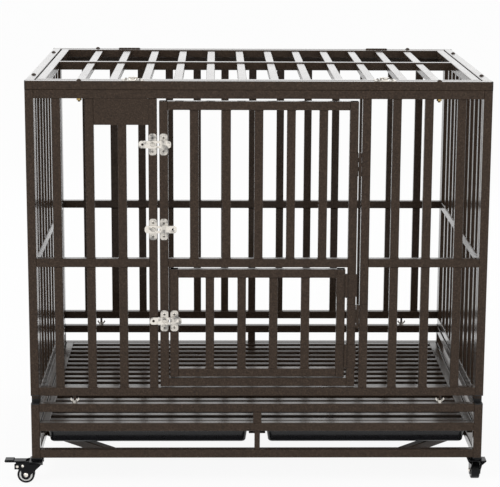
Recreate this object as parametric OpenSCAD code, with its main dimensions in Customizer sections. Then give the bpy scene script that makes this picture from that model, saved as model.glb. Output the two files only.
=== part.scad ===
// Heavy duty dog crate: bolted panels of welded square tube on a rolling base,
// with a main door, a feeding door inside it, a top lid and two pull-out trays.
// The origin is on the floor under the middle. The front faces -Y.

/* [Crate] */
// Overall length, left to right
crate_l = 1067; // [940:1:1300]
// Overall depth, front to back
crate_d = 762; // [640:1:900]
// Height of the front and back panels
panel_h = 723; // [650:1:820]
// Open gap between the base and the front and back panels
panel_gap = 20; // [18:1:30]
// Height of the mid rails above the panels' underside
mid_rail_z = 310; // [280:1:340]

/* [Tubes] */
// Width of the square frame tube
tube = 20; // [19:0.5:24]
// Wall of the frame tube
tube_wall = 1.2; // [0.8:0.1:2]
// Outer corner radius of every tube
tube_r = 2; // [1:0.5:3]
// Width of the filling bars
bar_w = 20; // [14:1:24]
// Thickness of the filling bars
bar_t = 15; // [10:1:17]
// Wall of the filling bars
bar_wall = 1; // [0.8:0.1:1.5]
// Root gap of each welded tube end
weld_gap = 0.2; // [0.1:0.05:0.4]

/* [Base] */
// Height of the base frame
base_h = 133; // [125:1:160]
// Underside of the base's middle ring above the base's underside
shelf_z = 66; // [62:1:74]
// Width of the thin struts between the trays
strut_w = 13; // [10:1:18]
// Distance from an inner corner of the base to the middle of its brace
brace_leg = 164; // [100:1:220]

/* [Floor grate] */
// Number of grate bars
grate_bars = 18; // [10:1:22]
// Width of the grate bars and rails
grate_w = 20; // [14:1:24]
// Thickness of the grate bars and rails
grate_t = 10; // [8:1:14]
// Clearance between the grate and the ring round it
grate_gap = 2; // [1:0.5:4]

/* [Panels] */
// Number of bars in the back panel
back_bars = 13; // [8:1:14]
// Number of bars in each side panel
side_bars = 9; // [6:1:10]
// Clearance between a side panel and the panels it meets
panel_fit = 0.5; // [0.3:0.1:1.5]
// Height of the plastic feet under the side panels
foot_h = 7; // [4:1:10]
// Height of the bare name plate
name_h = 60; // [40:1:80]
// Thickness of the bare name plate
name_t = 1.5; // [1:0.1:2]

/* [Main door] */
// Clear width of the doorway
doorway_w = 470; // [400:1:520]
// Distance of the doorway's middle to the right of the crate's middle
doorway_shift = 2; // [-10:1:10]
// Gap beside the door at the latches
door_latch_gap = 5; // [3:0.5:8]
// Gap beside the door at the hinges
door_hinge_gap = 9; // [6:0.5:12]
// Gap under the door
door_sill_gap = 3.5; // [2:0.5:6]
// Gap above the door
door_head_gap = 6; // [3:0.5:10]
// Number of bars above the door's mid rail
door_bars = 5; // [3:1:5]

/* [Feeding door] */
// Gap beside the feeding door at the latch
feed_latch_gap = 3; // [2:0.5:6]
// Gap beside the feeding door at the hinges
feed_hinge_gap = 5; // [3:0.5:8]
// Gap under the feeding door
feed_sill_gap = 3; // [2:0.5:6]
// Gap above the feeding door
feed_head_gap = 5; // [3:0.5:8]
// Number of bars in the feeding door
feed_bars = 4; // [2:1:4]

/* [Lid] */
// Gap round the lid at the front and the sides
lid_gap = 4; // [3:0.5:7]
// Number of lid slats
lid_slats = 12; // [6:1:13]
// Distance of the lid latches from the crate's middle
lid_latch_x = 288; // [200:1:380]
// Distance of the lid hinges from the crate's middle
lid_hinge_x = 330; // [200:1:380]

/* [Hinges] */
// Height of a hinge
hinge_h = 54; // [40:1:60]
// Reach of a door hinge leaf from the pin
leaf_w = 24; // [18:0.5:24]
// Reach of a lid hinge leaf from the pin
lid_leaf_w = 17; // [12:0.5:19]
// Thickness of a hinge leaf
leaf_t = 2; // [1.5:0.1:2.5]
// Diameter of the knuckles
knuckle_d = 7; // [6.5:0.5:8]
// Diameter of the hinge pins
pin_d = 4; // [3:0.5:4.5]
// Number of knuckles in a hinge
hinge_knuckles = 5; // [3:2:7]

/* [Latches] */
// Width of a latch plate
latch_w = 18; // [16:0.5:19]
// Height of a latch plate
latch_h = 50; // [46:1:58]
// Thickness of a latch plate
latch_t = 1.5; // [1.2:0.1:2]
// Length of the slide
slide_l = 74; // [70:1:80]
// Width of the slide
slide_w = 17; // [15:0.5:18]
// Thickness of the slide
slide_t = 2; // [1.5:0.1:2.5]
// Travel of the slide
slide_travel = 15; // [10:0.5:16]
// Width of the strap that holds the slide
strap_w = 10; // [8:0.5:12]
// Thickness of the strap
strap_t = 1.5; // [1.2:0.1:2]
// Diameter of the keeper's stud
stud_d = 5; // [4:0.5:5.5]
// Diameter of the stud's head
stud_head_d = 9; // [8:0.5:9.5]
// Diameter of the keyhole's round end
keyhole_d = 11; // [10.5:0.5:12]
// Width of the keyhole's slot
slot_w = 6; // [5.9:0.1:6.5]
// Diameter of the hole for a padlock
lock_hole_d = 6; // [4:0.5:7]

/* [Trays] */
// Height of a tray
tray_h = 33; // [26:1:36]
// Wall of a tray
tray_t = 2.5; // [2:0.1:3]
// Width of a tray's rim
tray_rim = 12; // [10:0.5:16]
// Clearance beside a tray
tray_gap = 4; // [3:0.5:6]
// Gap between a tray's rim and the ring above it
tray_drop = 5.5; // [4:0.5:8]
// Outer corner radius of a tray's rim
tray_r = 27; // [25:1:45]
// Thickness of the runners
runner_t = 2; // [1.5:0.1:3]
// Width of the ledge under a tray's rim
runner_ledge = 9; // [7:0.5:9.5]

/* [Casters] */
// Height of the base's underside above the floor
caster_h = 62; // [60:1:72]
// Diameter of a wheel
wheel_d = 41; // [36:1:42]
// Width of a tyre
wheel_w = 20; // [16:1:24]
// Diameter of a hub
hub_d = 31; // [26:1:32]
// Distance of the axle behind the swivel axis
caster_trail = 25; // [22:1:30]
// Thickness of a fork
fork_t = 1.8; // [1.5:0.1:2.5]
// Diameter of an axle
axle_d = 6; // [5:0.5:7]
// Diameter of an axle's caps
axle_cap_d = 11; // [9:0.5:12]
// Diameter of a swivel stem
stem_d = 8; // [6:0.5:9]
// Length of the brake pedal's foot pad
pad_l = 17; // [12:0.5:20]

/* [Fasteners] */
// Diameter of the panel bolts
bolt_d = 6; // [5:0.5:7]
// Diameter of the latch rivets
rivet_d = 4; // [3:0.5:4.5]
// Thickness of the tube plugs' flanges
plug_t = 2; // [1.5:0.1:3]

/* [Hidden] */
$fn = 48;

// How far a cut passes the faces that it opens
overrun = 1;

// Finishes
coat = "#463c36";
zinc = "#c9c9c6";
black = "#1b1b1d";
brass = "#b59a57";
rubber = "#202022";
hub_grey = "#d6d6d4";

// Places of the front panel's bars, as shares of the way from a door post to its corner post
front_bar_shares = [0.25, 0.515, 0.785];
// Steps between bars, as shares of the way between the middles of the outer members
door_step_share = 0.17;
feed_step_share = 0.191;
slat_step_share = 0.0744;
// Place of the lower door hinge, as a share of the way between the feeding door's hinges
low_hinge_share = 0.565;
// Places of the other hinges and of the latches, as shares of their door's height
high_hinge_share = 0.785;
feed_hinge_shares = [0.2, 0.855];
upper_latch_share = 0.853;
middle_latch_share = 0.559;
feed_latch_share = 0.526;
// Place of the lid's crossbar, as a share of the way between its front and back rails
lid_cross_share = 0.56;
// Places of the panel bolts, as shares of the bay between two bars
top_bolt_share = 0.3;
back_bolt_share = 0.55;
base_bolt_share = 0.57;
// Places of the grate's support tabs, as shares of the half length
grate_tab_shares = [-0.8, 0, 0.8];

// Heights
base_z = caster_h;
base_top = base_z + base_h;
panel_z = base_top + panel_gap;
panel_top = panel_z + panel_h;
top_z = panel_top + tube;
mid_z = panel_z + mid_rail_z;
ring_z = base_z + shelf_z;

// Outer faces, tube middles and inner faces of the crate's plan
xo = crate_l / 2;
yo = crate_d / 2;
xc = xo - tube / 2;
yc = yo - tube / 2;
xi = xo - tube;
yi = yo - tube;

// Doorway, main door and feeding door
doorway_l = doorway_shift - doorway_w / 2;
doorway_r = doorway_shift + doorway_w / 2;
post_l = doorway_l - tube / 2;
post_r = doorway_r + tube / 2;
door_l = doorway_l + door_latch_gap;
door_r = doorway_r - door_hinge_gap;
door_z0 = panel_z + tube + door_sill_gap;
door_z1 = panel_top - tube - door_head_gap;
feed_l = door_l + tube + feed_latch_gap;
feed_r = door_r - tube - feed_hinge_gap;
feed_z0 = door_z0 + tube + feed_sill_gap;
feed_z1 = mid_z - feed_head_gap;
door_stile = door_l + tube / 2;
feed_stile = feed_l + tube / 2;
front_bars = concat(
    [for (s = front_bar_shares) post_l - s * (post_l + xc)],
    [for (s = front_bar_shares) post_r + s * (xc - post_r)]
);

// Side and back bars, and the panel bolts in the bays between bars
side_y = yi - panel_fit - tube / 2;
side_step = 2 * side_y / (side_bars + 1);
back_step = 2 * xc / (back_bars + 1);
function front_bolts(s) = [for (i = [1, 4]) front_bars[i] + s * (front_bars[i + 1] - front_bars[i])];
back_bolt = back_step * ((back_bars - 1) / 2 - 1 + back_bolt_share);
side_bolt = side_step * ((side_bars - 1) / 2 - top_bolt_share);

// Hinges
kr = knuckle_d / 2;
hinge_gap = 0.4;
pin_clear = 0.15;
pin_head_lip = 0.75;
pin_head_d = pin_d + 2 * pin_head_lip;
pin_head_t = 1.2;
door_axis_x = door_r + door_hinge_gap / 2;
feed_axis_x = feed_r + feed_hinge_gap / 2;
axis_y = -yo - kr;
feed_hinges = [for (s = feed_hinge_shares) feed_z0 + s * (feed_z1 - feed_z0)];
door_hinges = [
    feed_hinges[0] + low_hinge_share * (feed_hinges[1] - feed_hinges[0]),
    door_z0 + high_hinge_share * (door_z1 - door_z0)
];

// Lid
lid_xc = xi - lid_gap - tube / 2;
lid_y0 = -yi + lid_gap + tube / 2;
lid_y1 = yi - knuckle_d - tube / 2;
lid_axis_y = yi - kr;
lid_zc = top_z - tube / 2;
lid_cross_y = lid_y0 + lid_cross_share * (lid_y1 - lid_y0);

// Latches
latch_clear = 0.4;
slide_z = latch_t + latch_clear;
strap_z = slide_z + slide_t + latch_clear;
strap_half = slide_w / 2 + latch_clear + strap_t;
stud_head_t = 2;
plate_r = 6.5;
slide_r = 6.5;
rivet_spot = latch_h / 2 - latch_w / 2;
rivet_head_d = 7;
rivet_head_t = 1.8;
rivet_grip = 3;
rivet_clear = 0.1;
upper_latch_z = door_z0 + upper_latch_share * (door_z1 - door_z0);
middle_latch_z = door_z0 + middle_latch_share * (door_z1 - door_z0);
feed_latch_z = feed_z0 + feed_latch_share * (feed_z1 - feed_z0);
door_span = tube + door_latch_gap;
feed_span = tube + feed_latch_gap;
lid_span = tube + lid_gap;
// How far a slide passes the middle of its strap at rest, pulled left or pulled right
lead_left = 17;
lead_right = 29.5;

// Bolts, nuts and plugs
bolt_clear = 0.3;
bolt_head_d = 12;
bolt_head_t = 4;
bolt_tail = 3;
nut_w = 11.5;
nut_h = 5;
wing_body_d = 12;
wing_body_h = 8;
wing_reach = 11;
wing_t = 2.4;
wing_h = 9;
plug_l = 12;
plug_clear = 0.3;
plug_w = tube - 2 * tube_wall - 2 * plug_clear;

// Floor grate and trays
grate_z = ring_z + tube - grate_t / 2;
grate_x = xi - grate_gap - grate_w / 2;
grate_y = yi - grate_gap - grate_w / 2;
tab_l = 30;
tab_reach = 16;
tab_t = 3;
tray_z1 = ring_z - tray_drop;
tray_z0 = tray_z1 - tray_h;
tray_x0 = strut_w / 2 + tray_gap;
tray_x1 = xi - tray_gap;
tray_setback = 3;
tray_y = yi - tray_setback;
tray_fillet = 6;
tray_draft = 4;
runner_clear = 0.3;
runner_z = tray_z1 - tray_t - runner_clear;
runner_up = 10;
web_t = 3;
web_h = 6;

// Casters: place signs and turn of each, front left, front right, back left, back right
caster_spots = [[-1, -1, 180], [1, -1, 90], [-1, 1, 90], [1, 1, 90]];
wheel_r = wheel_d / 2;
wheel_gap = 1.2;
race_t = 4;
race_d = 26;
stem_clear = 0.3;
stem_head_d = 13;
stem_head_t = 2.5;
fork_top = base_z - plug_t - race_t - stem_clear;
fork_y = wheel_w / 2 + wheel_gap + fork_t / 2;
crown_r = 16;
crown_drop = 6;
crown_round = 6;
shoulder_y = 22;
shoulder_drop = 10;
boss_rim = 4.5;
boss_r = hub_d / 2 - boss_rim;
axle_clear = 0.2;
axle_cap_t = 2.5;
tyre_round = 3;
tyre_fit = 0.1;
hub_inset = 1;
hub_w = wheel_w - 2 * hub_inset;
hub_dish = 2;
rim_t = 4;

// Brake pedal: its pivot and its stop pin behind the axle and above it
pivot_back = 20;
pivot_rise = 20.8;
pivot_x = caster_trail + pivot_back;
pivot_z = wheel_r + pivot_rise;
pivot_pin_d = 4;
stop_back = 7.3;
stop_rise = 22.3;
stop_x = caster_trail + stop_back;
stop_z = wheel_r + stop_rise;
stop_pin_d = 3;
ear_r = 6.5;
pivot_boss_r = 4.5;
pedal_t = 3.5;
pedal_rise = 10;
pedal_in = 20;
pedal_out = 10;
pedal_fit = 0.5;
pedal_w = wheel_w + 2 * (wheel_gap - pedal_fit);
shoe_r = 1.5;
shoe_reach = 6.5;
shoe_turn = 250;
pad_t = 6;

// Section shapes

module rounded(w, t, r) {
    square([w - 2 * r, t], center = true);
    square([w, t - 2 * r], center = true);
    for (x = [-1, 1], y = [-1, 1]) translate([x * (w / 2 - r), y * (t / 2 - r)]) circle(r);
}

module stadium(l, w) {
    square([l - w, w], center = true);
    for (x = [-1, 1]) translate([x * (l - w) / 2, 0]) circle(d = w);
}

module section(w, t, wall) {
    difference() {
        rounded(w, t, tube_r);
        square([w - 2 * wall, t - 2 * wall], center = true);
    }
}

// Tubes between two places, each end shortened by a weld's root gap

module upright(x, y, z0, z1, w = tube, t = tube, wall = tube_wall, gap = weld_gap)
    translate([x, y, z0 + gap]) linear_extrude(z1 - z0 - 2 * gap) section(w, t, wall);

module across(x0, x1, y, z, h = tube, t = tube, wall = tube_wall, gap = weld_gap)
    translate([x0 + gap, y, z]) rotate([0, 90, 0])
        linear_extrude(x1 - x0 - 2 * gap) section(h, t, wall);

module along(y0, y1, x, z, w = tube, h = tube, wall = tube_wall, gap = weld_gap)
    translate([x, y0 + gap, z]) rotate([-90, 0, 0])
        linear_extrude(y1 - y0 - 2 * gap) section(w, h, wall);

module bar(x, y, z0, z1) upright(x, y, z0, z1, bar_w, bar_t, bar_wall);

// Evenly stepped places about zero
function steps(n, step) = [for (i = [0 : n - 1]) (i - (n - 1) / 2) * step];

// Fasteners

module dome(d, h) {
    r = (d * d / 4 + h * h) / (2 * h);
    intersection() {
        translate([0, 0, h - r]) sphere(r);
        cylinder(d = d, h = h);
    }
}

module bolt(grip) {
    dome(bolt_head_d, bolt_head_t);
    translate([0, 0, -grip]) cylinder(d = bolt_d, h = grip);
}

module hex_nut() {
    difference() {
        cylinder(d = nut_w, h = nut_h, $fn = 6);
        translate([0, 0, -overrun]) cylinder(d = bolt_d + 2 * pin_clear, h = nut_h + 2 * overrun);
    }
}

module wing_nut() {
    difference() {
        union() {
            cylinder(d = wing_body_d, h = wing_body_h);
            for (turn = [0, 180]) rotate([90, 0, turn]) translate([0, 0, -wing_t / 2])
                linear_extrude(wing_t) polygon([
                    [0, wing_body_h / 2], [wing_reach - wing_h / 2, wing_body_h / 2],
                    [wing_reach, wing_h], [wing_reach - wing_h / 4, wing_h + wing_h / 2],
                    [wing_body_d / 2, wing_body_h], [0, wing_body_h]
                ]);
        }
        translate([0, 0, -overrun])
            cylinder(d = bolt_d + 2 * pin_clear, h = wing_body_h + 2 * overrun);
    }
}

module bolt_hole()
    cylinder(d = bolt_d + 2 * bolt_clear, h = tube + 2 * overrun, center = true);

// Hole through the one wall of a rail that lies at the origin
module wall_hole() cylinder(d = bolt_d + 2 * bolt_clear, h = tube, center = true);

module rivet() {
    translate([0, 0, latch_t]) dome(rivet_head_d, rivet_head_t);
    translate([0, 0, -rivet_grip]) cylinder(d = rivet_d, h = rivet_grip + latch_t);
}

module rivet_places() for (y = [-1, 1]) translate([0, y * rivet_spot, 0]) children();

module rivet_cut() rivet_places() translate([0, 0, -rivet_grip - overrun])
    cylinder(d = rivet_d + 2 * rivet_clear, h = rivet_grip + latch_t + 2 * overrun);

// Plug with its flange's outer face at the origin, going in along +Z
module plug(flange) {
    linear_extrude(flange) rounded(tube, tube, tube_r);
    translate([0, 0, flange]) linear_extrude(plug_l) square(plug_w, center = true);
}

// Hinges: the pin lies along Z, a leaf reaches along +X with its seat at +Y

module hinge_leaf(own, reach) {
    step = hinge_h / hinge_knuckles;
    difference() {
        union() {
            translate([kr + hinge_gap, kr - leaf_t, -hinge_h / 2])
                cube([reach - kr - hinge_gap, leaf_t, hinge_h]);
            for (i = [own : 2 : hinge_knuckles - 1])
                translate([0, 0, (i - hinge_knuckles / 2) * step + hinge_gap / 2]) {
                    cylinder(r = kr, h = step - hinge_gap);
                    translate([0, kr - leaf_t, 0])
                        cube([kr + hinge_gap, leaf_t, step - hinge_gap]);
                }
        }
        cylinder(d = pin_d + 2 * pin_clear, h = hinge_h + 2 * overrun, center = true);
    }
}

module hinge_pin() {
    cylinder(d = pin_d, h = hinge_h + 2 * hinge_gap, center = true);
    for (s = [0, 1]) mirror([0, 0, s]) translate([0, 0, hinge_h / 2 + hinge_gap])
        cylinder(d = pin_head_d, h = pin_head_t);
}

module at_door_hinges() for (z = door_hinges) translate([door_axis_x, axis_y, z]) children();

module at_feed_hinges() for (z = feed_hinges) translate([feed_axis_x, axis_y, z]) children();

module at_lid_hinges() for (s = [-1, 1]) translate([s * lid_hinge_x, lid_axis_y, top_z])
    rotate([0, 90, 0]) children();

// Latches: the strap is at the origin, the keeper at -X and the slide runs along X

module latch_plate() {
    difference() {
        linear_extrude(latch_t) rounded(latch_w, latch_h, plate_r);
        rivet_cut();
    }
}

module latch_guide() {
    latch_plate();
    translate([-strap_w / 2, 0, 0]) rotate([90, 0, 90]) linear_extrude(strap_w) difference() {
        translate([-strap_half, 0]) square([2 * strap_half, strap_z + strap_t]);
        translate([strap_t - strap_half, latch_t])
            square([2 * (strap_half - strap_t), strap_z - latch_t]);
    }
}

module latch_keeper() {
    latch_plate();
    cylinder(d = stud_d, h = strap_z + stud_head_t);
    translate([0, 0, strap_z]) cylinder(d = stud_head_d, h = stud_head_t);
}

// A slide locks by moving along -X; side is the end with the padlock hole
module latch_slide(span, lead, side) {
    translate([0, 0, slide_z]) linear_extrude(slide_t) difference() {
        translate([lead - slide_l / 2, 0]) rounded(slide_l, slide_w, slide_r);
        translate([-span, 0]) circle(d = keyhole_d);
        translate([slide_travel / 2 - span, 0]) stadium(slide_travel + slot_w, slot_w);
        translate([lead - slide_l / 2 + side * (slide_l - slide_w) / 2, 0]) circle(d = lock_hole_d);
    }
}

module on_front(x, z) translate([x, -yo, z]) rotate([90, 0, 0]) children();

module on_lid(x, y = lid_y0) translate([x, y, top_z]) rotate([0, 0, 90]) children();

module at_door_latches(x) for (z = [upper_latch_z, middle_latch_z]) on_front(x, z) children();

module at_lid_latches(y) for (s = [-1, 1]) on_lid(s * lid_latch_x, y) children();

// Places of the panel bolts

module at_wall_bolts(s, z) {
    for (x = front_bolts(s)) translate([x, -yc, z]) children();
    for (x = [-1, 1]) translate([x * back_bolt, yc, z]) children();
}

module at_top_bolts(z) {
    at_wall_bolts(top_bolt_share, z) children();
    for (x = [-1, 1], y = [-1, 1]) translate([x * xc, y * side_bolt, z]) children();
}

module at_base_bolts(z) at_wall_bolts(base_bolt_share, z) children();

// Base

module ring(z) {
    for (s = [-1, 1]) {
        across(-xi, xi, s * yc, z + tube / 2);
        along(-yi, yi, s * xc, z + tube / 2);
    }
}

module corner_brace() intersection() {
    translate([-xi + weld_gap, -yi + weld_gap, base_z])
        cube([xi - weld_gap, yi - weld_gap, tube]);
    translate([-xi + brace_leg, -yi, base_z + tube / 2]) rotate([0, 90, 135])
        translate([0, 0, -brace_leg]) linear_extrude(4 * brace_leg) section(tube, tube, tube_wall);
}

module base_frame() color(coat) {
    for (x = [-1, 1], y = [-1, 1])
        upright(x * xc, y * yc, base_z, base_top - plug_t, gap = 0);
    ring(base_z);
    ring(ring_z);
    difference() {
        ring(base_top - tube);
        at_base_bolts(base_top) wall_hole();
    }
    for (y = [-1, 1]) {
        upright(0, y * yc, ring_z + tube, base_top - tube);
        upright(0, y * yc, base_z + tube, ring_z, strut_w, strut_w);
        for (x = grate_tab_shares)
            translate([x * xi, y * (yi - weld_gap - tab_reach / 2), grate_z - (grate_t + tab_t) / 2])
                cube([tab_l, tab_reach, tab_t], center = true);
    }
    for (x = [0, 1], y = [0, 1]) mirror([x, 0, 0]) mirror([0, y, 0]) corner_brace();
}

module tray_runners() color(coat) {
    for (s = [0, 1]) mirror([s, 0, 0])
        translate([xi - weld_gap, yi - weld_gap, runner_z]) rotate([90, 0, 0])
            linear_extrude(2 * (yi - weld_gap)) {
                translate([-runner_t, -runner_t])
                    square([runner_t, ring_z + runner_up - runner_z + runner_t]);
                translate([-tray_gap - runner_ledge, -runner_t])
                    square([tray_gap + runner_ledge, runner_t]);
            }
    translate([0, yc - strut_w / 2 - weld_gap, runner_z]) rotate([90, 0, 0])
        linear_extrude(2 * (yc - strut_w / 2 - weld_gap)) {
            translate([0, -runner_t / 2])
                square([2 * (tray_x0 + runner_ledge), runner_t], center = true);
            translate([-web_t / 2, 0]) square([web_t, web_h]);
        }
}

module floor_grate() color(coat) {
    for (s = [-1, 1]) along(-yi + grate_gap, yi - grate_gap, s * grate_x, grate_z, grate_w, grate_t,
        bar_wall, 0);
    for (y = steps(grate_bars, 2 * grate_y / (grate_bars - 1)))
        across(-grate_x + grate_w / 2, grate_x - grate_w / 2, y, grate_z, grate_t, grate_w, bar_wall);
}

// Panels

module panel_frame(y) {
    for (s = [-1, 1]) upright(s * xc, y, panel_z + plug_t, panel_top, gap = 0);
    difference() {
        union() {
            across(-xi, xi, y, panel_z + tube / 2);
            across(-xi, xi, y, panel_top - tube / 2);
        }
        at_base_bolts(panel_z) wall_hole();
        at_top_bolts(panel_top - tube / 2) bolt_hole();
    }
}

module front_panel() color(coat) {
    panel_frame(-yc);
    difference() {
        upright(post_l, -yc, panel_z + tube, panel_top - tube);
        at_door_latches(post_l) rivet_cut();
    }
    upright(post_r, -yc, panel_z + tube, panel_top - tube);
    across(-xi, post_l - tube / 2, -yc, mid_z + tube / 2);
    across(post_r + tube / 2, xi, -yc, mid_z + tube / 2);
    for (x = front_bars) {
        bar(x, -yc, panel_z + tube, mid_z);
        bar(x, -yc, mid_z + tube, panel_top - tube);
    }
}

module back_panel() color(coat) {
    panel_frame(yc);
    across(-xi, xi, yc, mid_z + tube / 2);
    for (x = steps(back_bars, back_step)) {
        bar(x, yc, panel_z + tube, mid_z);
        bar(x, yc, mid_z + tube, panel_top - tube);
    }
}

module side_panel() {
    foot_z = base_top + foot_h;
    reach = side_y - tube / 2;
    for (s = [-1, 1]) upright(xc, s * side_y, foot_z, panel_top, gap = 0);
    along(-reach, reach, xc, foot_z + tube / 2);
    along(-reach, reach, xc, mid_z + tube / 2);
    difference() {
        along(-reach, reach, xc, panel_top - tube / 2);
        at_top_bolts(panel_top - tube / 2) bolt_hole();
    }
    for (y = steps(side_bars, side_step)) {
        upright(xc, y, foot_z + tube, mid_z, bar_t, bar_w, bar_wall);
        upright(xc, y, mid_z + tube, panel_top - tube, bar_t, bar_w, bar_wall);
    }
}

module left_panel() color(coat) mirror([1, 0, 0]) side_panel();

module right_panel() color(coat) side_panel();

module top_frame() color(coat) difference() {
    union() {
        for (s = [-1, 1]) {
            across(-xo, xo, s * yc, lid_zc, gap = plug_t);
            along(-yi, yi, s * xc, lid_zc);
        }
    }
    at_top_bolts(lid_zc) bolt_hole();
    at_lid_latches(-yc) rivet_cut();
}

module name_plate() color(coat) {
    x0 = front_bars[1] + bar_w / 2 + panel_fit;
    x1 = post_l - tube / 2 - panel_fit;
    translate([x0, -yc - bar_t / 2 - name_t, panel_top - tube - panel_fit - name_h])
        cube([x1 - x0, name_t, name_h]);
}

module tube_plugs() color(black) {
    for (x = [-1, 1], y = [-1, 1]) {
        translate([x * xo, y * yc, lid_zc]) rotate([0, -x * 90, 0]) plug(plug_t);
        translate([x * xc, y * yc, panel_z]) plug(plug_t);
        translate([x * xc, y * side_y, base_top]) plug(foot_h);
        translate([x * xc, y * yc, base_top]) mirror([0, 0, 1]) plug(plug_t);
        translate([x * xc, y * yc, base_z - plug_t]) difference() {
            plug(plug_t);
            translate([0, 0, -overrun])
                cylinder(d = stem_d + 2 * stem_clear, h = plug_t + plug_l + 2 * overrun);
        }
    }
}

module top_bolts() color(coat)
    at_top_bolts(top_z) bolt(2 * tube + nut_h + bolt_tail);

// The heads of these bolts lie inside the panels' bottom rails
module base_bolts() color(coat)
    at_base_bolts(panel_z + tube_wall) bolt(tube_wall + panel_gap + tube / 2);

module hex_nuts() color(brass) at_top_bolts(panel_top - tube - nut_h) hex_nut();

module wing_nuts() color(zinc) at_base_bolts(base_top) wing_nut();

// Latch pieces of the fixed body

module latch_keepers() color(zinc) {
    at_door_latches(post_l) latch_keeper();
    at_lid_latches(-yc) latch_keeper();
}

module keeper_rivets() color(zinc) {
    at_door_latches(post_l) rivet_places() rivet();
    at_lid_latches(-yc) rivet_places() rivet();
}

module fixed_hinge_leaves() color(coat) {
    at_door_hinges() hinge_leaf(0, leaf_w);
    at_lid_hinges() hinge_leaf(0, lid_leaf_w);
}

module hinge_pins() color(coat) {
    at_door_hinges() hinge_pin();
    at_lid_hinges() hinge_pin();
}

// Main door

module main_door() color(coat) {
    difference() {
        upright(door_stile, -yc, door_z0, door_z1, gap = 0);
        at_door_latches(door_stile) rivet_cut();
        on_front(door_stile, feed_latch_z) rivet_cut();
    }
    upright(door_r - tube / 2, -yc, door_z0, door_z1, gap = 0);
    for (z = [door_z0, mid_z, door_z1 - tube])
        across(door_l + tube, door_r - tube, -yc, z + tube / 2);
    for (x = steps(door_bars, door_step_share * (door_r - door_l - tube)))
        bar((door_l + door_r) / 2 + x, -yc, mid_z + tube, door_z1 - tube);
}

module door_hinge_leaves() color(coat) at_door_hinges() mirror([1, 0, 0]) hinge_leaf(1, leaf_w);

module door_latch_guides() color(zinc) at_door_latches(door_stile) latch_guide();

module feed_latch_keeper() color(zinc) on_front(door_stile, feed_latch_z) latch_keeper();

module door_rivets() color(zinc) {
    at_door_latches(door_stile) rivet_places() rivet();
    on_front(door_stile, feed_latch_z) rivet_places() rivet();
}

module feed_fixed_leaves() color(coat) at_feed_hinges() hinge_leaf(0, leaf_w);

module feed_hinge_pins() color(coat) at_feed_hinges() hinge_pin();

// Feeding door

module feed_door() color(coat) {
    difference() {
        upright(feed_stile, -yc, feed_z0, feed_z1, gap = 0);
        on_front(feed_stile, feed_latch_z) rivet_cut();
    }
    upright(feed_r - tube / 2, -yc, feed_z0, feed_z1, gap = 0);
    for (z = [feed_z0, feed_z1 - tube]) across(feed_l + tube, feed_r - tube, -yc, z + tube / 2);
    for (x = steps(feed_bars, feed_step_share * (feed_r - feed_l - tube)))
        bar((feed_l + feed_r) / 2 + x, -yc, feed_z0 + tube, feed_z1 - tube);
}

module feed_hinge_leaves() color(coat) at_feed_hinges() mirror([1, 0, 0]) hinge_leaf(1, leaf_w);

module feed_latch_guide() color(zinc) on_front(feed_stile, feed_latch_z) latch_guide();

module feed_rivets() color(zinc) on_front(feed_stile, feed_latch_z) rivet_places() rivet();

// Lid

module lid() color(coat) {
    inner_x = lid_xc - tube / 2;
    difference() {
        across(-lid_xc - tube / 2, lid_xc + tube / 2, lid_y0, lid_zc, gap = 0);
        at_lid_latches(lid_y0) rivet_cut();
    }
    across(-lid_xc - tube / 2, lid_xc + tube / 2, lid_y1, lid_zc, gap = 0);
    for (s = [-1, 1]) along(lid_y0 + tube / 2, lid_y1 - tube / 2, s * lid_xc, lid_zc);
    across(-inner_x, inner_x, lid_cross_y, lid_zc);
    for (x = steps(lid_slats, 2 * lid_xc * slat_step_share)) {
        along(lid_y0 + tube / 2, lid_cross_y - tube / 2, x, lid_zc, bar_w, bar_t, bar_wall);
        along(lid_cross_y + tube / 2, lid_y1 - tube / 2, x, lid_zc, bar_w, bar_t, bar_wall);
    }
}

module lid_hinge_leaves() color(coat)
    at_lid_hinges() mirror([0, 1, 0]) hinge_leaf(1, lid_leaf_w);

module lid_latch_guides() color(zinc) at_lid_latches(lid_y0) latch_guide();

module lid_rivets() color(zinc) at_lid_latches(lid_y0) rivet_places() rivet();

// Slides

module upper_latch_slide() color(zinc)
    on_front(door_stile, upper_latch_z) latch_slide(door_span, lead_left, -1);

module middle_latch_slide() color(zinc)
    on_front(door_stile, middle_latch_z) latch_slide(door_span, lead_right, 1);

module feed_latch_slide() color(zinc)
    on_front(feed_stile, feed_latch_z) latch_slide(feed_span, lead_left, -1);

module left_lid_slide() color(zinc) on_lid(-lid_latch_x) latch_slide(lid_span, lead_right, 1);

module right_lid_slide() color(zinc) on_lid(lid_latch_x) latch_slide(lid_span, lead_right, 1);

// Trays

// Half of a tray's cross section, outwards along X from the middle of its corner
module tray_profile() {
    wall_r = tray_r - tray_rim;
    foot_r = wall_r - tray_draft - tray_fillet;
    difference() {
        union() {
            polygon([
                [0, 0], [foot_r, 0], [foot_r + tray_fillet, tray_fillet], [wall_r, tray_h], [0, tray_h]
            ]);
            translate([foot_r, tray_fillet]) circle(tray_fillet);
        }
        polygon([
            [0, tray_t], [foot_r, tray_t], [foot_r + tray_fillet - tray_t, tray_fillet],
            [wall_r - tray_t, tray_h], [wall_r - tray_t, tray_h + overrun], [0, tray_h + overrun]
        ]);
        translate([foot_r, tray_fillet]) circle(tray_fillet - tray_t);
        translate([-tray_r, -overrun]) square([tray_r, tray_h + 2 * overrun]);
    }
    translate([wall_r - tray_t, tray_h - tray_t]) square([tray_rim + tray_t, tray_t]);
}

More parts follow.
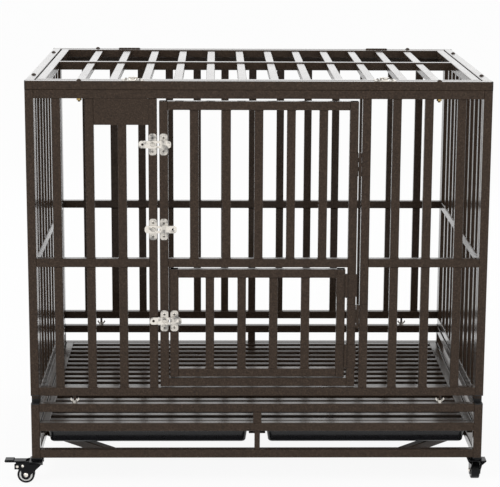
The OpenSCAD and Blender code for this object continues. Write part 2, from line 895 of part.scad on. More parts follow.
module tray() {
    half_x = (tray_x1 - tray_x0) / 2 - tray_r;
    half_y = tray_y - tray_r;
    translate([(tray_x0 + tray_x1) / 2, 0, tray_z0]) {
        translate([-half_x, -half_y, 0]) cube([2 * half_x, 2 * half_y, tray_t]);
        for (s = [0, 1]) {
            mirror([s, 0, 0]) translate([half_x, half_y, 0]) rotate([90, 0, 0])
                linear_extrude(2 * half_y) tray_profile();
            mirror([0, s, 0]) translate([-half_x, half_y, 0]) rotate([90, 0, 90])
                linear_extrude(2 * half_x) tray_profile();
            for (t = [0, 1]) mirror([s, 0, 0]) mirror([0, t, 0]) translate([half_x, half_y, 0])
                rotate_extrude(angle = 90) tray_profile();
        }
    }
}

module left_tray() color(black) mirror([1, 0, 0]) tray();

module right_tray() color(black) tray();

// Casters: the swivel axis is at the origin and the wheel trails along +X

module at_caster(i) translate([caster_spots[i][0] * xc, caster_spots[i][1] * yc, 0])
    rotate([0, 0, caster_spots[i][2]]) children();

module on_axle(x = caster_trail, z = wheel_r) translate([x, 0, z]) rotate([90, 0, 0]) children();

module caster_stem() {
    fork_under = fork_top - fork_t;
    translate([0, 0, base_z - plug_t - race_t]) cylinder(d = race_d, h = race_t);
    translate([0, 0, fork_under - stem_clear - stem_head_t])
        cylinder(d = stem_d, h = base_z + plug_l - fork_under + stem_clear + stem_head_t);
    translate([0, 0, fork_under - stem_clear - stem_head_t]) cylinder(d = stem_head_d, h = stem_head_t);
}

module caster_stems() color(black) for (i = [0 : 3]) at_caster(i) caster_stem();

module cheek(brake) {
    polygon([
        [-crown_r, fork_top], [-crown_r, fork_top - crown_drop], [caster_trail - boss_r, wheel_r],
        [caster_trail + boss_r, wheel_r], [caster_trail + boss_r, fork_top - crown_drop],
        [crown_r, fork_top]
    ]);
    translate([caster_trail, wheel_r]) circle(boss_r);
    if (brake) polygon([
        [crown_r, fork_top], [pivot_x + ear_r, pivot_z + ear_r], [pivot_x + ear_r, pivot_z - ear_r],
        [caster_trail, pivot_z - ear_r]
    ]);
}

// Sloping side of the fork's crown, between the crown's edge and the cheek
module shoulder() translate([-crown_r, 0, 0]) rotate([90, 0, 90]) linear_extrude(2 * crown_r)
    polygon([
        [fork_y, fork_top - shoulder_drop], [fork_y + fork_t / 2, fork_top - shoulder_drop],
        [shoulder_y, fork_top - fork_t], [shoulder_y, fork_top], [shoulder_y - fork_t, fork_top]
    ]);

module fork(brake) difference() {
    union() {
        translate([0, 0, fork_top - fork_t]) linear_extrude(fork_t)
            rounded(2 * crown_r, 2 * shoulder_y, crown_round);
        for (s = [0, 1]) mirror([0, s, 0]) shoulder();
        for (s = [-1, 1]) translate([0, s * fork_y + fork_t / 2, 0]) rotate([90, 0, 0])
            linear_extrude(fork_t) cheek(brake);
    }
    cylinder(d = stem_d + 2 * stem_clear, h = base_z);
    on_axle() cylinder(d = axle_d + 2 * axle_clear, h = 4 * fork_y, center = true);
    if (brake) {
        on_axle(pivot_x, pivot_z)
            cylinder(d = pivot_pin_d + 2 * axle_clear, h = 4 * fork_y, center = true);
        on_axle(stop_x, stop_z)
            cylinder(d = stop_pin_d + 2 * axle_clear, h = 4 * fork_y, center = true);
    }
}

// Cross pin with a cap on each cheek
module cross_pin(d, cap_d, cap_t) {
    outer = 2 * fork_y + fork_t;
    cylinder(d = d, h = outer + cap_t, center = true);
    for (s = [0, 1]) mirror([0, 0, s]) translate([0, 0, outer / 2]) dome(cap_d, cap_t);
}

module axle(brake) {
    on_axle() cross_pin(axle_d, axle_cap_d, axle_cap_t);
    if (brake) {
        on_axle(pivot_x, pivot_z) cross_pin(pivot_pin_d, rivet_head_d, rivet_head_t);
        on_axle(stop_x, stop_z) cross_pin(stop_pin_d, rivet_head_d, rivet_head_t);
    }
}

module tyre() on_axle() rotate_extrude()
    translate([(wheel_r + hub_d / 2 + tyre_fit) / 2, 0])
        rounded(wheel_r - hub_d / 2 - tyre_fit, wheel_w, min(tyre_round, (wheel_r - hub_d / 2) / 2 - tyre_fit));

module hub() on_axle() difference() {
    cylinder(d = hub_d, h = hub_w, center = true);
    for (s = [0, 1]) mirror([0, 0, s]) translate([0, 0, hub_w / 2 - hub_dish]) difference() {
        cylinder(d = hub_d - 2 * rim_t, h = hub_dish + overrun);
        cylinder(d = axle_cap_d + rim_t, h = hub_dish);
    }
    cylinder(d = axle_d + 2 * axle_clear, h = 2 * wheel_w, center = true);
}

module pedal() difference() {
    translate([0, pedal_w / 2, 0]) rotate([90, 0, 0]) linear_extrude(pedal_w)
        translate([pivot_x, pivot_z]) {
            circle(pivot_boss_r);
            rotate(shoe_turn) {
                translate([0, -shoe_r]) square([shoe_reach, 2 * shoe_r]);
                translate([shoe_reach, 0]) circle(shoe_r);
            }
            translate([-pedal_t, 0]) square([2 * pedal_t, pedal_rise]);
            translate([-pedal_in, pedal_rise]) square([pedal_in + pedal_out, pedal_t]);
            translate([pedal_out, pedal_rise + pad_t / 2]) {
                circle(d = pad_t);
                translate([0, -pad_t / 2]) square([pad_l, pad_t]);
                translate([pad_l, 0]) circle(d = pad_t);
            }
        }
    on_axle(pivot_x, pivot_z) cylinder(d = pivot_pin_d + 2 * axle_clear, h = 2 * pedal_w, center = true);
}

module fork_fl() color(black) at_caster(0) fork(true);
module fork_fr() color(black) at_caster(1) fork(true);
module fork_bl() color(black) at_caster(2) fork(false);
module fork_br() color(black) at_caster(3) fork(false);
module axle_fl() color(zinc) at_caster(0) axle(true);
module axle_fr() color(zinc) at_caster(1) axle(true);
module axle_bl() color(zinc) at_caster(2) axle(false);
module axle_br() color(zinc) at_caster(3) axle(false);
module tyre_fl() color(rubber) at_caster(0) tyre();
module tyre_fr() color(rubber) at_caster(1) tyre();
module tyre_bl() color(rubber) at_caster(2) tyre();
module tyre_br() color(rubber) at_caster(3) tyre();
module hub_fl() color(hub_grey) at_caster(0) hub();
module hub_fr() color(hub_grey) at_caster(1) hub();
module hub_bl() color(hub_grey) at_caster(2) hub();
module hub_br() color(hub_grey) at_caster(3) hub();
module pedal_fl() color(black) at_caster(0) pedal();
module pedal_fr() color(black) at_caster(1) pedal();

base_frame();
tray_runners();
floor_grate();
front_panel();
back_panel();
left_panel();
right_panel();
top_frame();
name_plate();
tube_plugs();
top_bolts();
base_bolts();
hex_nuts();
wing_nuts();
latch_keepers();
keeper_rivets();
fixed_hinge_leaves();
hinge_pins();
caster_stems();
main_door();
door_hinge_leaves();
door_latch_guides();
feed_latch_keeper();
door_rivets();
feed_fixed_leaves();
feed_hinge_pins();
feed_door();
feed_hinge_leaves();
feed_latch_guide();
feed_rivets();
lid();
lid_hinge_leaves();
lid_latch_guides();
lid_rivets();
upper_latch_slide();
middle_latch_slide();
feed_latch_slide();
left_lid_slide();
right_lid_slide();
left_tray();
right_tray();
fork_fl();
fork_fr();
fork_bl();
fork_br();
axle_fl();
axle_fr();
axle_bl();
axle_br();
tyre_fl();
tyre_fr();
tyre_bl();
tyre_br();
hub_fl();
hub_fr();
hub_bl();
hub_br();
pedal_fl();
pedal_fr();
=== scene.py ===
"""Looks of a heavy duty dog crate: finishes, weld beads, screw slots and a studio."""

import math

import bmesh
import bpy
from mathutils import Euler, Matrix, Vector


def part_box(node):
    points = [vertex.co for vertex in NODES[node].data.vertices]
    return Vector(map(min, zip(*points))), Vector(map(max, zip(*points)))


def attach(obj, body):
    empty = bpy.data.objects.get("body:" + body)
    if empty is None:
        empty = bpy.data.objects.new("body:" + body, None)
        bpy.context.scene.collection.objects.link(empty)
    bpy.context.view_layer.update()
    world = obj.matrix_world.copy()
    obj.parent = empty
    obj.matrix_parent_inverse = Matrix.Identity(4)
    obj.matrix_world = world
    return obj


bl_info = {
    "name": "Dog Crate Looks",
    "version": (1, 0, 0),
    "blender": (4, 5, 0),
    "location": "View3D > Sidebar > Crate",
    "description": "Finishes, weld beads, screw slots and studio for a rolling dog crate",
    "category": "Object",
}

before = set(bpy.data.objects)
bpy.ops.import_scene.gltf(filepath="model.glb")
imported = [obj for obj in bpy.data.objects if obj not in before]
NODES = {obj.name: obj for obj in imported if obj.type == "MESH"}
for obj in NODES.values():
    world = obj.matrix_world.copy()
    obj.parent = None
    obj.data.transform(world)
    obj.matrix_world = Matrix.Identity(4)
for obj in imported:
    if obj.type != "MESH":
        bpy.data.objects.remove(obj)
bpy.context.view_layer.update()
MM = 0.001
# How far a measured size may be off
NEAR = 0.1 * MM
CORNERS = ("fl", "fr", "bl", "br")

COATED = (
    "base_frame", "tray_runners", "floor_grate", "front_panel", "back_panel", "left_panel",
    "right_panel", "top_frame", "name_plate", "top_bolts", "base_bolts", "fixed_hinge_leaves",
    "hinge_pins", "main_door", "door_hinge_leaves", "feed_fixed_leaves", "feed_hinge_pins",
    "feed_door", "feed_hinge_leaves", "lid", "lid_hinge_leaves",
)
BRIGHT = (
    "upper_latch_slide", "middle_latch_slide", "feed_latch_slide", "left_lid_slide",
    "right_lid_slide", "axle_fl", "axle_fr", "axle_bl", "axle_br",
)
# Zinc parts in a darker copy of the zinc: painted shade on the plates, rivets and wing nuts
ZINC_PAINTED_SHADE = (
    "latch_keepers", "keeper_rivets", "door_latch_guides", "feed_latch_keeper", "door_rivets",
    "feed_latch_guide", "feed_rivets", "lid_latch_guides", "lid_rivets", "wing_nuts",
)
# Node, the body it rides on and the axis across the thin side of its bars
WELDED = (
    ("front_panel", "crate", 1), ("back_panel", "crate", 1), ("left_panel", "crate", 0),
    ("right_panel", "crate", 0), ("main_door", "main_door", 1), ("feed_door", "feed_door", 1),
    ("lid", "lid", 2),
)
# Node of latch rivets and the body it rides on
RIVETED = (
    ("keeper_rivets", "crate"), ("door_rivets", "main_door"), ("feed_rivets", "feed_door"),
    ("lid_rivets", "lid"),
)

# Weak gloss of the powder coat, under and on its clear layer
COAT_IOR = 1.18
COAT_ROUGHNESS = 0.15
# A bead's play round its bar, and its middle ring's height and reach as shares of the leg
BEAD_PLAY = 0.1 * MM
BEAD_RING_Z, BEAD_RING_OUT = 0.35, 0.38
# How far the seam stays inside the name plate's faces, as a share of its thickness
SEAM_INSET = 0.2

# Lamp, where it stands, its width and height, and the setting that holds its power
LAMPS = (
    ("key_lamp", (-2.6, -3.4, 3.6), (2.6, 2.6), "key_power"),
    ("fill_lamp", (3.2, -3.0, 2.4), (2.4, 2.4), "fill_power"),
    ("back_lamp", (0.0, 3.4, 2.0), (4.4, 1.7), "back_power"),
)
# What the lamps point at
LAMP_AIM = (0.0, 0.0, 0.45)
SENSOR_W = 36.0
VIEW_END = 200.0
FLOOR_R = 60.0
FLOOR_SIDES = 64
FLOOR_DROP = 0.5 * MM
WHITE = (1.0, 1.0, 1.0, 1.0)


def colour_prop(name, words, default):
    """A colour that a user would change."""
    return bpy.props.FloatVectorProperty(
        name=name, description=words, default=default, subtype="COLOR", size=3, min=0.0, max=1.0
    )


def length_prop(name, words, default):
    """A length that a user would change."""
    return bpy.props.FloatProperty(
        name=name, description=words, default=default, min=0.0, unit="LENGTH", precision=5
    )


def share_prop(name, words, default):
    """A share between 0 and 1 that a user would change."""
    return bpy.props.FloatProperty(
        name=name, description=words, default=default, min=0.0, max=1.0, subtype="FACTOR"
    )


class CrateFinishSettings(bpy.types.PropertyGroup):
    """Colours of the crate's finishes, with painted shade and painted reflection among them."""

    coat: colour_prop("Coat", "Powder coat on the tubes", (0.0355, 0.0228, 0.015))
    coat_fleck: colour_prop("Coat fleck", "Bronze fleck in the powder coat", (0.064, 0.043, 0.03))
    coat_pit: colour_prop("Coat pit", "Dark grain in the powder coat", (0.0195, 0.0125, 0.0084))
    zinc: colour_prop("Zinc", "Bright plate on the latch slides", (0.82, 0.775, 0.705))
    # A darker copy of the zinc that paints shade on the plates, rivets and wing nuts
    zinc_dull: colour_prop("Dull zinc", "Duller plate under the slides", (0.65, 0.615, 0.56))
    # Dark patches: partly clouded plate, partly painted dark reflection on the latches
    zinc_cloud_and_dark_reflection: colour_prop("Clouded zinc", "Dark clouds in the plate", (0.27, 0.26, 0.245))
    brass: colour_prop("Yellow plate", "Yellow plate on the nuts", (0.55, 0.4, 0.16))
    tray: colour_prop("Tray", "Glossy plastic of the trays", (0.0085, 0.0088, 0.0105))
    plug: colour_prop("Plug", "Plastic of the plugs and feet", (0.011, 0.011, 0.0115))
    fork: colour_prop("Fork", "Black paint on the forks and pedals", (0.0045, 0.0045, 0.005))
    tyre: colour_prop("Tyre", "Rubber of the tyres", (0.006, 0.006, 0.0066))
    hub: colour_prop("Hub", "Pale plastic of the hubs", (0.66, 0.66, 0.64))
    # Near-black painted shade inside the screws' slots
    slot: colour_prop("Screw slot", "Shaded slots in the screw heads", (0.02, 0.019, 0.018))


class CrateWeldSettings(bpy.types.PropertyGroup):
    """Sizes of the weld beads at the bars' ends and of the slots in the screw heads."""

    bar_w: length_prop("Bar width", "Width of the filling bars", 20 * MM)
    bar_t: length_prop("Bar thickness", "Thickness of the filling bars", 15 * MM)
    bar_r: length_prop("Bar corners", "Corner radius of the filling bars", 2 * MM)
    leg: length_prop("Weld leg", "Leg of a weld bead", 1.6 * MM)
    root: length_prop("Root gap", "Gap between a bar's end and its rail", 0.2 * MM)
    seam: length_prop("Seam", "Width of the seam round the name plate", 1.4 * MM)
    head_d: length_prop("Screw head", "Diameter of the latch screws' heads", 7 * MM)
    slot_l: length_prop("Slot length", "Length of a screw's crossed slots", 5.2 * MM)
    slot_w: length_prop("Slot width", "Width of a screw's crossed slots", 1.6 * MM)
    slot_t: length_prop("Slot thickness", "Thickness of a screw's crossed slots", 0.4 * MM)


class CrateStageSettings(bpy.types.PropertyGroup):
    """Camera, lamps and floor."""

    camera_place: bpy.props.FloatVectorProperty(
        name="Camera", description="Where the camera stands", subtype="TRANSLATION", size=3,
        default=(-0.0948, -4.4432, 1.4308), unit="LENGTH",
    )
    camera_turn: bpy.props.FloatVectorProperty(
        name="Camera turn", description="How the camera is turned", subtype="EULER", size=3,
        default=(math.radians(78.1968), math.radians(-0.2747), math.radians(-1.0069)),
        unit="ROTATION",
    )
    lens: bpy.props.FloatProperty(
        name="Lens", description="Focal length of the camera", default=129.12, unit="CAMERA"
    )
    sky: share_prop("Room light", "Strength of the room's even light", 0.8)
    key_power: bpy.props.FloatProperty(
        name="Key lamp", description="Power of the soft lamp at the front left", default=70.0,
        min=0.0, unit="POWER",
    )
    fill_power: bpy.props.FloatProperty(
        name="Fill lamp", description="Power of the soft lamp at the front right", default=30.0,
        min=0.0, unit="POWER",
    )
    back_power: bpy.props.FloatProperty(
        name="Back lamp", description="Power of the soft lamp behind the crate", default=12.0,
        min=0.0, unit="POWER",
    )
    floor: colour_prop("Floor", "Pale floor", (0.93, 0.93, 0.93))
    floor_glow: share_prop("Floor glow", "Share of plain white in the floor as seen", 0.92)


# Material helpers


def new_material(name):
    """An empty material with a Principled shader, and its object coordinates."""
    material = bpy.data.materials.new(name)
    material.use_nodes = True
    tree = material.node_tree
    tree.nodes.clear()
    out = tree.nodes.new("ShaderNodeOutputMaterial")
    shader = tree.nodes.new("ShaderNodeBsdfPrincipled")
    tree.links.new(shader.outputs["BSDF"], out.inputs["Surface"])
    place = tree.nodes.new("ShaderNodeTexCoord").outputs["Object"]
    return material, tree, shader, place


def stretched(tree, place, scale):
    """Coordinates scaled unevenly, for a brushed or drawn grain."""
    mapping = tree.nodes.new("ShaderNodeMapping")
    mapping.inputs["Scale"].default_value = scale
    tree.links.new(place, mapping.inputs["Vector"])
    return mapping.outputs["Vector"]


def noise(tree, place, scale, detail=2.0, rough=0.5):
    """Soft noise of the given number of cells in a metre."""
    texture = tree.nodes.new("ShaderNodeTexNoise")
    texture.inputs["Scale"].default_value = scale
    texture.inputs["Detail"].default_value = detail
    texture.inputs["Roughness"].default_value = rough
    tree.links.new(place, texture.inputs["Vector"])
    return texture.outputs["Fac"]


def ramp(tree, value, stops):
    """Colours along a value, from (place, colour) stops."""
    node = tree.nodes.new("ShaderNodeValToRGB")
    while len(node.color_ramp.elements) < len(stops):
        node.color_ramp.elements.new(1.0)
    for element, (spot, colour) in zip(node.color_ramp.elements, stops):
        element.position = spot
        element.color = (*colour, 1.0)
    tree.links.new(value, node.inputs["Fac"])
    return node.outputs["Color"]


def spread(tree, value, low, high, from_low=0.3, from_high=0.7):
    """A value stretched from its usual span to another."""
    node = tree.nodes.new("ShaderNodeMapRange")
    node.inputs["From Min"].default_value = from_low
    node.inputs["From Max"].default_value = from_high
    node.inputs["To Min"].default_value = low
    node.inputs["To Max"].default_value = high
    tree.links.new(value, node.inputs["Value"])
    return node.outputs["Result"]


def bump(tree, shader, height, distance, strength):
    """Fine relief on a shader."""
    node = tree.nodes.new("ShaderNodeBump")
    node.inputs["Distance"].default_value = distance
    node.inputs["Strength"].default_value = strength
    tree.links.new(height, node.inputs["Height"])
    tree.links.new(node.outputs["Normal"], shader.inputs["Normal"])


def colour_shader(tree, shader, colour, roughness):
    """Links a colour and a roughness to a shader."""
    tree.links.new(colour, shader.inputs["Base Color"])
    tree.links.new(roughness, shader.inputs["Roughness"])


def seen_rays(tree):
    """1 for rays that show the backdrop, straight or in gloss and glass."""
    rays = tree.nodes.new("ShaderNodeLightPath")
    ways = rays.outputs["Is Camera Ray"]
    for kind in ("Is Glossy Ray", "Is Transmission Ray"):
        both = tree.nodes.new("ShaderNodeMath")
        both.operation = "MAXIMUM"
        tree.links.new(ways, both.inputs[0])
        tree.links.new(rays.outputs[kind], both.inputs[1])
        ways = both.outputs["Value"]
    return ways


def mix_shaders(tree, share, first, second, out):
    """Mixes two shaders by a share and links them to an output."""
    mixed = tree.nodes.new("ShaderNodeMixShader")
    tree.links.new(share, mixed.inputs["Fac"])
    tree.links.new(first, mixed.inputs[1])
    tree.links.new(second, mixed.inputs[2])
    tree.links.new(mixed.outputs["Shader"], out.inputs["Surface"])


def shaded(tone, share):
    """A colour made darker or paler."""
    return tuple(min(1.0, share * part) for part in tone)


def dress(names, material):
    """Gives CAD nodes a material."""
    for name in names:
        slots = NODES[name].data.materials
        slots.clear()
        slots.append(material)


def finishes():
    """The crate's colours."""
    return bpy.context.scene.crate_finish


def powder_coat():
    """Dark bronze powder coat with a fine grain, mottled with small flecks."""
    made = bpy.data.materials.get("powder_coat")
    if made:
        return made
    tones = finishes()
    material, tree, shader, place = new_material("powder_coat")
    grain = noise(tree, place, 1500.0, 3.0, 0.6)
    mottle = noise(tree, place, 340.0, 3.0, 0.65)
    cloud = noise(tree, place, 9.0, 4.0, 0.6)
    colour = ramp(
        tree, mottle,
        ((0.34, tones.coat_pit), (0.48, tones.coat), (0.54, tones.coat), (0.68, tones.coat_fleck)),
    )
    colour_shader(tree, shader, colour, spread(tree, cloud, 0.26, 0.36))
    shader.inputs["IOR"].default_value = COAT_IOR
    shader.inputs["Coat Weight"].default_value = 1.0
    shader.inputs["Coat Roughness"].default_value = COAT_ROUGHNESS
    shader.inputs["Coat IOR"].default_value = COAT_IOR
    bump(tree, shader, grain, 0.12 * MM, 0.15)
    return material


def zinc_plate(name, tone):
    """Zinc plate of one tone, with dark patches that are partly clouded plate and partly painted
    dark reflection.
    """
    tones = finishes()
    material, tree, shader, place = new_material(name)
    cloud = noise(tree, place, 85.0, 3.0, 0.55)
    brushed = noise(tree, stretched(tree, place, (300.0, 2600.0, 2600.0)), 1.0, 2.0)
    # The dark stop gives patches that are partly clouded plate and partly painted dark reflection
    colour = ramp(tree, cloud, ((0.34, tones.zinc_cloud_and_dark_reflection), (0.5, tone)))
    colour_shader(tree, shader, colour, spread(tree, cloud, 0.16, 0.3))
    shader.inputs["Metallic"].default_value = 1.0
    bump(tree, shader, brushed, 0.03 * MM, 0.25)
    return material


def yellow_plate():
    """Yellow passivated plate on the nuts."""
    tones = finishes()
    material, tree, shader, place = new_material("yellow_plate")
    cloud = noise(tree, place, 240.0, 4.0, 0.6)
    colour = ramp(tree, cloud, ((0.3, shaded(tones.brass, 0.6)), (0.65, tones.brass)))
    colour_shader(tree, shader, colour, spread(tree, cloud, 0.26, 0.42))
    shader.inputs["Metallic"].default_value = 1.0
    return material


def tray_plastic():
    """Glossy black plastic with a drawn grain and faint scuffs."""
    tones = finishes()
    material, tree, shader, place = new_material("tray_plastic")
    scuff = noise(tree, stretched(tree, place, (60.0, 6.0, 60.0)), 1.0, 6.0, 0.7)
    wave = noise(tree, place, 14.0, 2.0)
    colour = ramp(tree, scuff, ((0.35, tones.tray), (0.75, shaded(tones.tray, 1.3))))
    colour_shader(tree, shader, colour, spread(tree, scuff, 0.1, 0.2))
    shader.inputs["Specular IOR Level"].default_value = 0.35
    bump(tree, shader, wave, 1.5 * MM, 0.2)
    return material


def moulded_plastic(name, tone, low, high, gloss=0.5):
    """Moulded plastic or rubber with a fine spark grain."""
    material, tree, shader, place = new_material(name)
    grain = noise(tree, place, 1300.0, 3.0, 0.6)
    cloud = noise(tree, place, 50.0, 3.0)
    colour = ramp(tree, cloud, ((0.35, tone), (0.75, shaded(tone, 1.35))))
    colour_shader(tree, shader, colour, spread(tree, cloud, low, high))
    shader.inputs["Specular IOR Level"].default_value = gloss
    bump(tree, shader, grain, 0.1 * MM, 0.3)
    return material


# Mesh helpers


def finished_mesh(name, form):
    """Turns a bmesh into a mesh."""
    mesh = bpy.data.meshes.new(name)
    form.to_mesh(mesh)
    form.free()
    return mesh


def piece(name, form, body, material):
    """Makes a bmesh a piece that rides on a body."""
    mesh = finished_mesh(name, form)
    mesh.materials.append(material)
    made = bpy.data.objects.new(name, mesh)
    bpy.context.scene.collection.objects.link(made)
    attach(made, body)


def stamp(form, pattern, matrix):
    """Adds a copy of a pattern mesh to a bmesh at a place."""
    start = len(form.verts)
    form.from_mesh(pattern)
    form.verts.ensure_lookup_table()
    bmesh.ops.transform(form, matrix=matrix, verts=form.verts[start:])


def bead_pattern(weld):
    """Fillet bead round the end of a bar that stands on the origin along Z."""
    form = bmesh.new()
    bmesh.ops.create_cube(form, size=1.0)
    bmesh.ops.scale(
        form, vec=(weld.bar_w + BEAD_PLAY, weld.bar_t + BEAD_PLAY, weld.leg), verts=form.verts
    )
    bmesh.ops.translate(form, vec=(0.0, 0.0, weld.leg / 2), verts=form.verts)
    upright = [e for e in form.edges if abs(e.verts[0].co.z - e.verts[1].co.z) > weld.leg / 2]
    bmesh.ops.bevel(
        form, geom=upright, offset=weld.bar_r, segments=2, profile=0.5, affect="EDGES", material=-1
    )
    bmesh.ops.bisect_plane(
        form, geom=form.verts[:] + form.edges[:] + form.faces[:],
        plane_co=(0.0, 0.0, BEAD_RING_Z * weld.leg), plane_no=(0.0, 0.0, 1.0),
    )
    for height, share in ((0.0, 1.0), (BEAD_RING_Z, BEAD_RING_OUT)):
        ring = [v for v in form.verts if abs(v.co.z - height * weld.leg) < NEAR]
        grow = (1 + 2 * share * weld.leg / weld.bar_w, 1 + 2 * share * weld.leg / weld.bar_t, 1.0)
        bmesh.ops.scale(form, vec=grow, verts=ring)
    for face in form.faces:
        face.smooth = abs(face.normal.z) < 0.99
    return finished_mesh("bead_pattern", form)


def block(form, low, high):
    """Adds a box between two corners to a bmesh."""
    low, high = Vector(low), Vector(high)
    made = bmesh.ops.create_cube(form, size=1.0)
    bmesh.ops.scale(form, vec=high - low, verts=made["verts"])
    bmesh.ops.translate(form, vec=(low + high) / 2, verts=made["verts"])


def slot_pattern(weld):
    """Crossed slots of a screw head, flat on the origin."""
    form = bmesh.new()
    for x, y in ((weld.slot_l, weld.slot_w), (weld.slot_w, weld.slot_l)):
        block(form, (-x / 2, -y / 2, -weld.slot_t / 2), (x / 2, y / 2, weld.slot_t / 2))
    return finished_mesh("slot_pattern", form)


def shells(node):
    """Boxes of a node's separate solids, as (low, high) corners."""
    form = bmesh.new()
    form.from_mesh(NODES[node].data)
    bmesh.ops.remove_doubles(form, verts=form.verts, dist=1e-6)
    seen, boxes = set(), []
    for start in form.verts:
        if start in seen:
            continue
        seen.add(start)
        stack, spots = [start], []
        while stack:
            vert = stack.pop()
            spots.append(vert.co.copy())
            for edge in vert.link_edges:
                other = edge.other_vert(vert)
                if other not in seen:
                    seen.add(other)
                    stack.append(other)
        boxes.append((Vector(map(min, *spots)), Vector(map(max, *spots))))
    form.free()
    return boxes


def stand(place, along, wide):
    """Stands a pattern at a place, along one direction, its width along another."""
    turn = Matrix((wide, along.cross(wide), along)).transposed().to_4x4()
    return Matrix.Translation(place) @ turn


def axis_vector(axis):
    """Unit vector along axis 0, 1 or 2."""
    return Vector(Matrix.Identity(3)[axis])


class CRATE_OT_powder_coat(bpy.types.Operator):
    """Coat the tubes, the doors, the lid, the hinges and the bolt heads"""

    bl_idname = "crate.powder_coat"
    bl_label = "Powder Coat"

    def execute(self, context):
        dress(COATED, powder_coat())
        return {"FINISHED"}


class CRATE_OT_zinc(bpy.types.Operator):
    """Plate the latches, rivets, wing nuts and axles, with painted shade on the plates, rivets and
    wing nuts
    """

    bl_idname = "crate.zinc"
    bl_label = "Zinc Fittings"

    def execute(self, context):
        tones = finishes()
        dress(BRIGHT, zinc_plate("zinc_bright", tones.zinc))
        # The darker copy paints shade on the plates, rivets and wing nuts
        dress(ZINC_PAINTED_SHADE, zinc_plate("zinc_dull", tones.zinc_dull))
        dress(("hex_nuts",), yellow_plate())
        return {"FINISHED"}


class CRATE_OT_plastics(bpy.types.Operator):
    """Finish the trays, the plugs and the feet"""

    bl_idname = "crate.plastics"
    bl_label = "Trays and Plugs"

    def execute(self, context):
        dress(("left_tray", "right_tray"), tray_plastic())
        dress(("tube_plugs",), moulded_plastic("plug_plastic", finishes().plug, 0.42, 0.58, 0.3))
        return {"FINISHED"}


class CRATE_OT_casters(bpy.types.Operator):
    """Finish the stems, forks, pedals, tyres and hubs"""

    bl_idname = "crate.casters"
    bl_label = "Casters"

    def execute(self, context):
        tones = finishes()
        dress(
            [f"fork_{c}" for c in CORNERS] + ["pedal_fl", "pedal_fr", "caster_stems"],
            moulded_plastic("fork_paint", tones.fork, 0.18, 0.3, 0.12),
        )
        dress(
            [f"tyre_{c}" for c in CORNERS],
            moulded_plastic("tyre_rubber", tones.tyre, 0.35, 0.5, 0.12),
        )
        dress(
            [f"hub_{c}" for c in CORNERS],
            moulded_plastic("hub_plastic", tones.hub, 0.3, 0.45),
        )
        return {"FINISHED"}


class CRATE_OT_welds(bpy.types.Operator):
    """Lay weld beads round the ends of the filling bars and a seam round the name plate"""

    bl_idname = "crate.welds"
    bl_label = "Weld Beads"

    def execute(self, context):
        weld = context.scene.crate_welds
        pattern = bead_pattern(weld)
        for node, body, thin in WELDED:
            form = bmesh.new()
            for low, high in shells(node):
                size = high - low
                if abs(size[thin] - weld.bar_t) > NEAR:
                    continue
                long = max(range(3), key=lambda axis: size[axis])
                wide = axis_vector(3 - thin - long)
                for end, sign in ((low, 1.0), (high, -1.0)):
                    place = (low + high) / 2
                    place[long] = end[long] - sign * weld.root
                    stamp(form, pattern, stand(place, sign * axis_vector(long), wide))
            bmesh.ops.recalc_face_normals(form, faces=form.faces)
            piece("welds_" + node, form, body, powder_coat())
        self.plate_seam(weld)
        return {"FINISHED"}

    def plate_seam(self, weld):
        """Lays a seam along the name plate's sides and its upper edge."""
        low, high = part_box("name_plate")
        inset = SEAM_INSET * (high.y - low.y)
        front, back = low.y + inset, high.y - inset
        half = weld.seam / 2
        form = bmesh.new()
        for x in (low.x, high.x):
            block(form, (x - half, front, low.z), (x + half, back, high.z))
        block(form, (low.x, front, high.z - half), (high.x, back, high.z + half))
        piece("name_plate_seam", form, "crate", powder_coat())


class CRATE_OT_screws(bpy.types.Operator):
    """Mark crossed slots on the heads of the latch screws, in a near-black that paints the shade
    inside them
    """

    bl_idname = "crate.screws"
    bl_label = "Screw Slots"

    def execute(self, context):
        weld = context.scene.crate_welds
        pattern = slot_pattern(weld)
        # The near-black stands in for the shade inside the slots
        shade = moulded_plastic("slot_shade", finishes().slot, 0.5, 0.7)
        for node, body in RIVETED:
            form = bmesh.new()
            for low, high in shells(node):
                place = (low + high) / 2
                on_top = abs(high.y - low.y - weld.head_d) < NEAR
                if on_top:
                    place.z = high.z
                    matrix = stand(place, axis_vector(2), axis_vector(0))
                else:
                    place.y = low.y
                    matrix = stand(place, -axis_vector(1), axis_vector(0))
                stamp(form, pattern, matrix)
            piece("slots_" + node, form, body, shade)
        return {"FINISHED"}


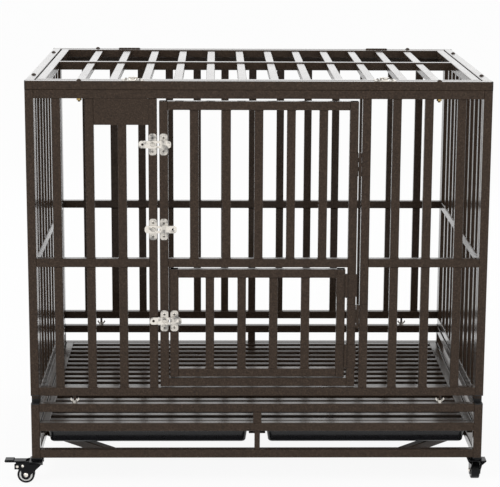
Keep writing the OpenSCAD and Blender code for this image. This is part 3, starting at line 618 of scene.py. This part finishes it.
class CRATE_OT_stage(bpy.types.Operator):
    """Set the floor, the lamps, the room and the camera"""

    bl_idname = "crate.stage"
    bl_label = "Studio"

    def execute(self, context):
        scene = context.scene
        settings = scene.crate_stage
        self.floor(scene, settings)
        self.room(scene, settings)
        for name, place, size, power in LAMPS:
            self.lamp(scene, name, place, size, getattr(settings, power))
        self.camera(scene, settings)
        scene.view_settings.view_transform = "Standard"
        return {"FINISHED"}

    def camera(self, scene, settings):
        """Stands the camera at the picture's viewing angle."""
        camera = bpy.data.objects.new("camera", bpy.data.cameras.new("camera"))
        scene.collection.objects.link(camera)
        camera.location = settings.camera_place
        camera.rotation_euler = Euler(settings.camera_turn)
        camera.data.lens = settings.lens
        camera.data.sensor_width = SENSOR_W
        camera.data.clip_end = VIEW_END
        scene.camera = camera

    def floor(self, scene, settings):
        """Lays a wide pale floor that keeps the crate's shadow."""
        form = bmesh.new()
        bmesh.ops.create_circle(form, cap_ends=True, radius=FLOOR_R, segments=FLOOR_SIDES)
        bmesh.ops.translate(form, vec=(0.0, 0.0, -FLOOR_DROP), verts=form.verts)
        mesh = finished_mesh("floor", form)
        material, tree, shader, place = new_material("floor_paint")
        tint = shaded(settings.floor, 0.985)
        colour = ramp(tree, noise(tree, place, 3.0, 3.0), ((0.3, tint), (0.7, settings.floor)))
        tree.links.new(colour, shader.inputs["Base Color"])
        shader.inputs["Roughness"].default_value = 0.9
        shader.inputs["Specular IOR Level"].default_value = 0.1
        glow = tree.nodes.new("ShaderNodeEmission")
        glow.inputs["Color"].default_value = WHITE
        seen = spread(tree, seen_rays(tree), 0.0, settings.floor_glow, 0.0, 1.0)
        mix_shaders(
            tree, seen, shader.outputs["BSDF"], glow.outputs["Emission"],
            tree.get_output_node("ALL"),
        )
        mesh.materials.append(material)
        floor = bpy.data.objects.new("floor", mesh)
        scene.collection.objects.link(floor)

    def room(self, scene, settings):
        """Lights the crate evenly from a white room."""
        world = bpy.data.worlds.new("room")
        world.use_nodes = True
        tree = world.node_tree
        tree.nodes.clear()
        out = tree.nodes.new("ShaderNodeOutputWorld")
        seen = tree.nodes.new("ShaderNodeBackground")
        lit = tree.nodes.new("ShaderNodeBackground")
        lit.inputs["Strength"].default_value = settings.sky
        for background in (seen, lit):
            background.inputs["Color"].default_value = WHITE
        mix_shaders(
            tree, seen_rays(tree), lit.outputs["Background"], seen.outputs["Background"], out
        )
        scene.world = world

    def lamp(self, scene, name, place, size, power):
        """Hangs a soft lamp that points at the crate."""
        light = bpy.data.lights.new(name, "AREA")
        light.shape = "RECTANGLE"
        light.size, light.size_y = size
        light.energy = power
        made = bpy.data.objects.new(name, light)
        made.visible_camera = False
        scene.collection.objects.link(made)
        made.location = place
        aim = Vector(LAMP_AIM) - made.location
        made.rotation_euler = aim.to_track_quat("-Z", "Y").to_euler()


class CRATE_PT_panel(bpy.types.Panel):
    """The crate's pieces and settings"""

    bl_idname = "CRATE_PT_panel"
    bl_label = "Dog Crate"
    bl_space_type = "VIEW_3D"
    bl_region_type = "UI"
    bl_category = "Crate"

    def draw(self, context):
        for operator in OPERATORS:
            self.layout.operator(operator.bl_idname)
        for name, group in GROUPS:
            for setting in group.__annotations__:
                self.layout.prop(getattr(context.scene, name), setting)


OPERATORS = (
    CRATE_OT_powder_coat, CRATE_OT_zinc, CRATE_OT_plastics, CRATE_OT_casters, CRATE_OT_welds,
    CRATE_OT_screws, CRATE_OT_stage,
)
GROUPS = (
    ("crate_finish", CrateFinishSettings), ("crate_welds", CrateWeldSettings),
    ("crate_stage", CrateStageSettings),
)


def register():
    """Registers the classes and their settings."""
    for name, group in GROUPS:
        bpy.utils.register_class(group)
        setattr(bpy.types.Scene, name, bpy.props.PointerProperty(type=group))
    for kind in (*OPERATORS, CRATE_PT_panel):
        bpy.utils.register_class(kind)


def unregister():
    """Removes the classes and their settings."""
    for kind in reversed((*OPERATORS, CRATE_PT_panel)):
        bpy.utils.unregister_class(kind)
    for name, group in reversed(GROUPS):
        delattr(bpy.types.Scene, name)
        bpy.utils.unregister_class(group)


def main():
    """Dresses the crate."""
    register()
    bpy.ops.crate.powder_coat()
    bpy.ops.crate.zinc()
    bpy.ops.crate.plastics()
    bpy.ops.crate.casters()
    bpy.ops.crate.welds()
    bpy.ops.crate.screws()
    bpy.ops.crate.stage()


if __name__ == "__main__":
    main()
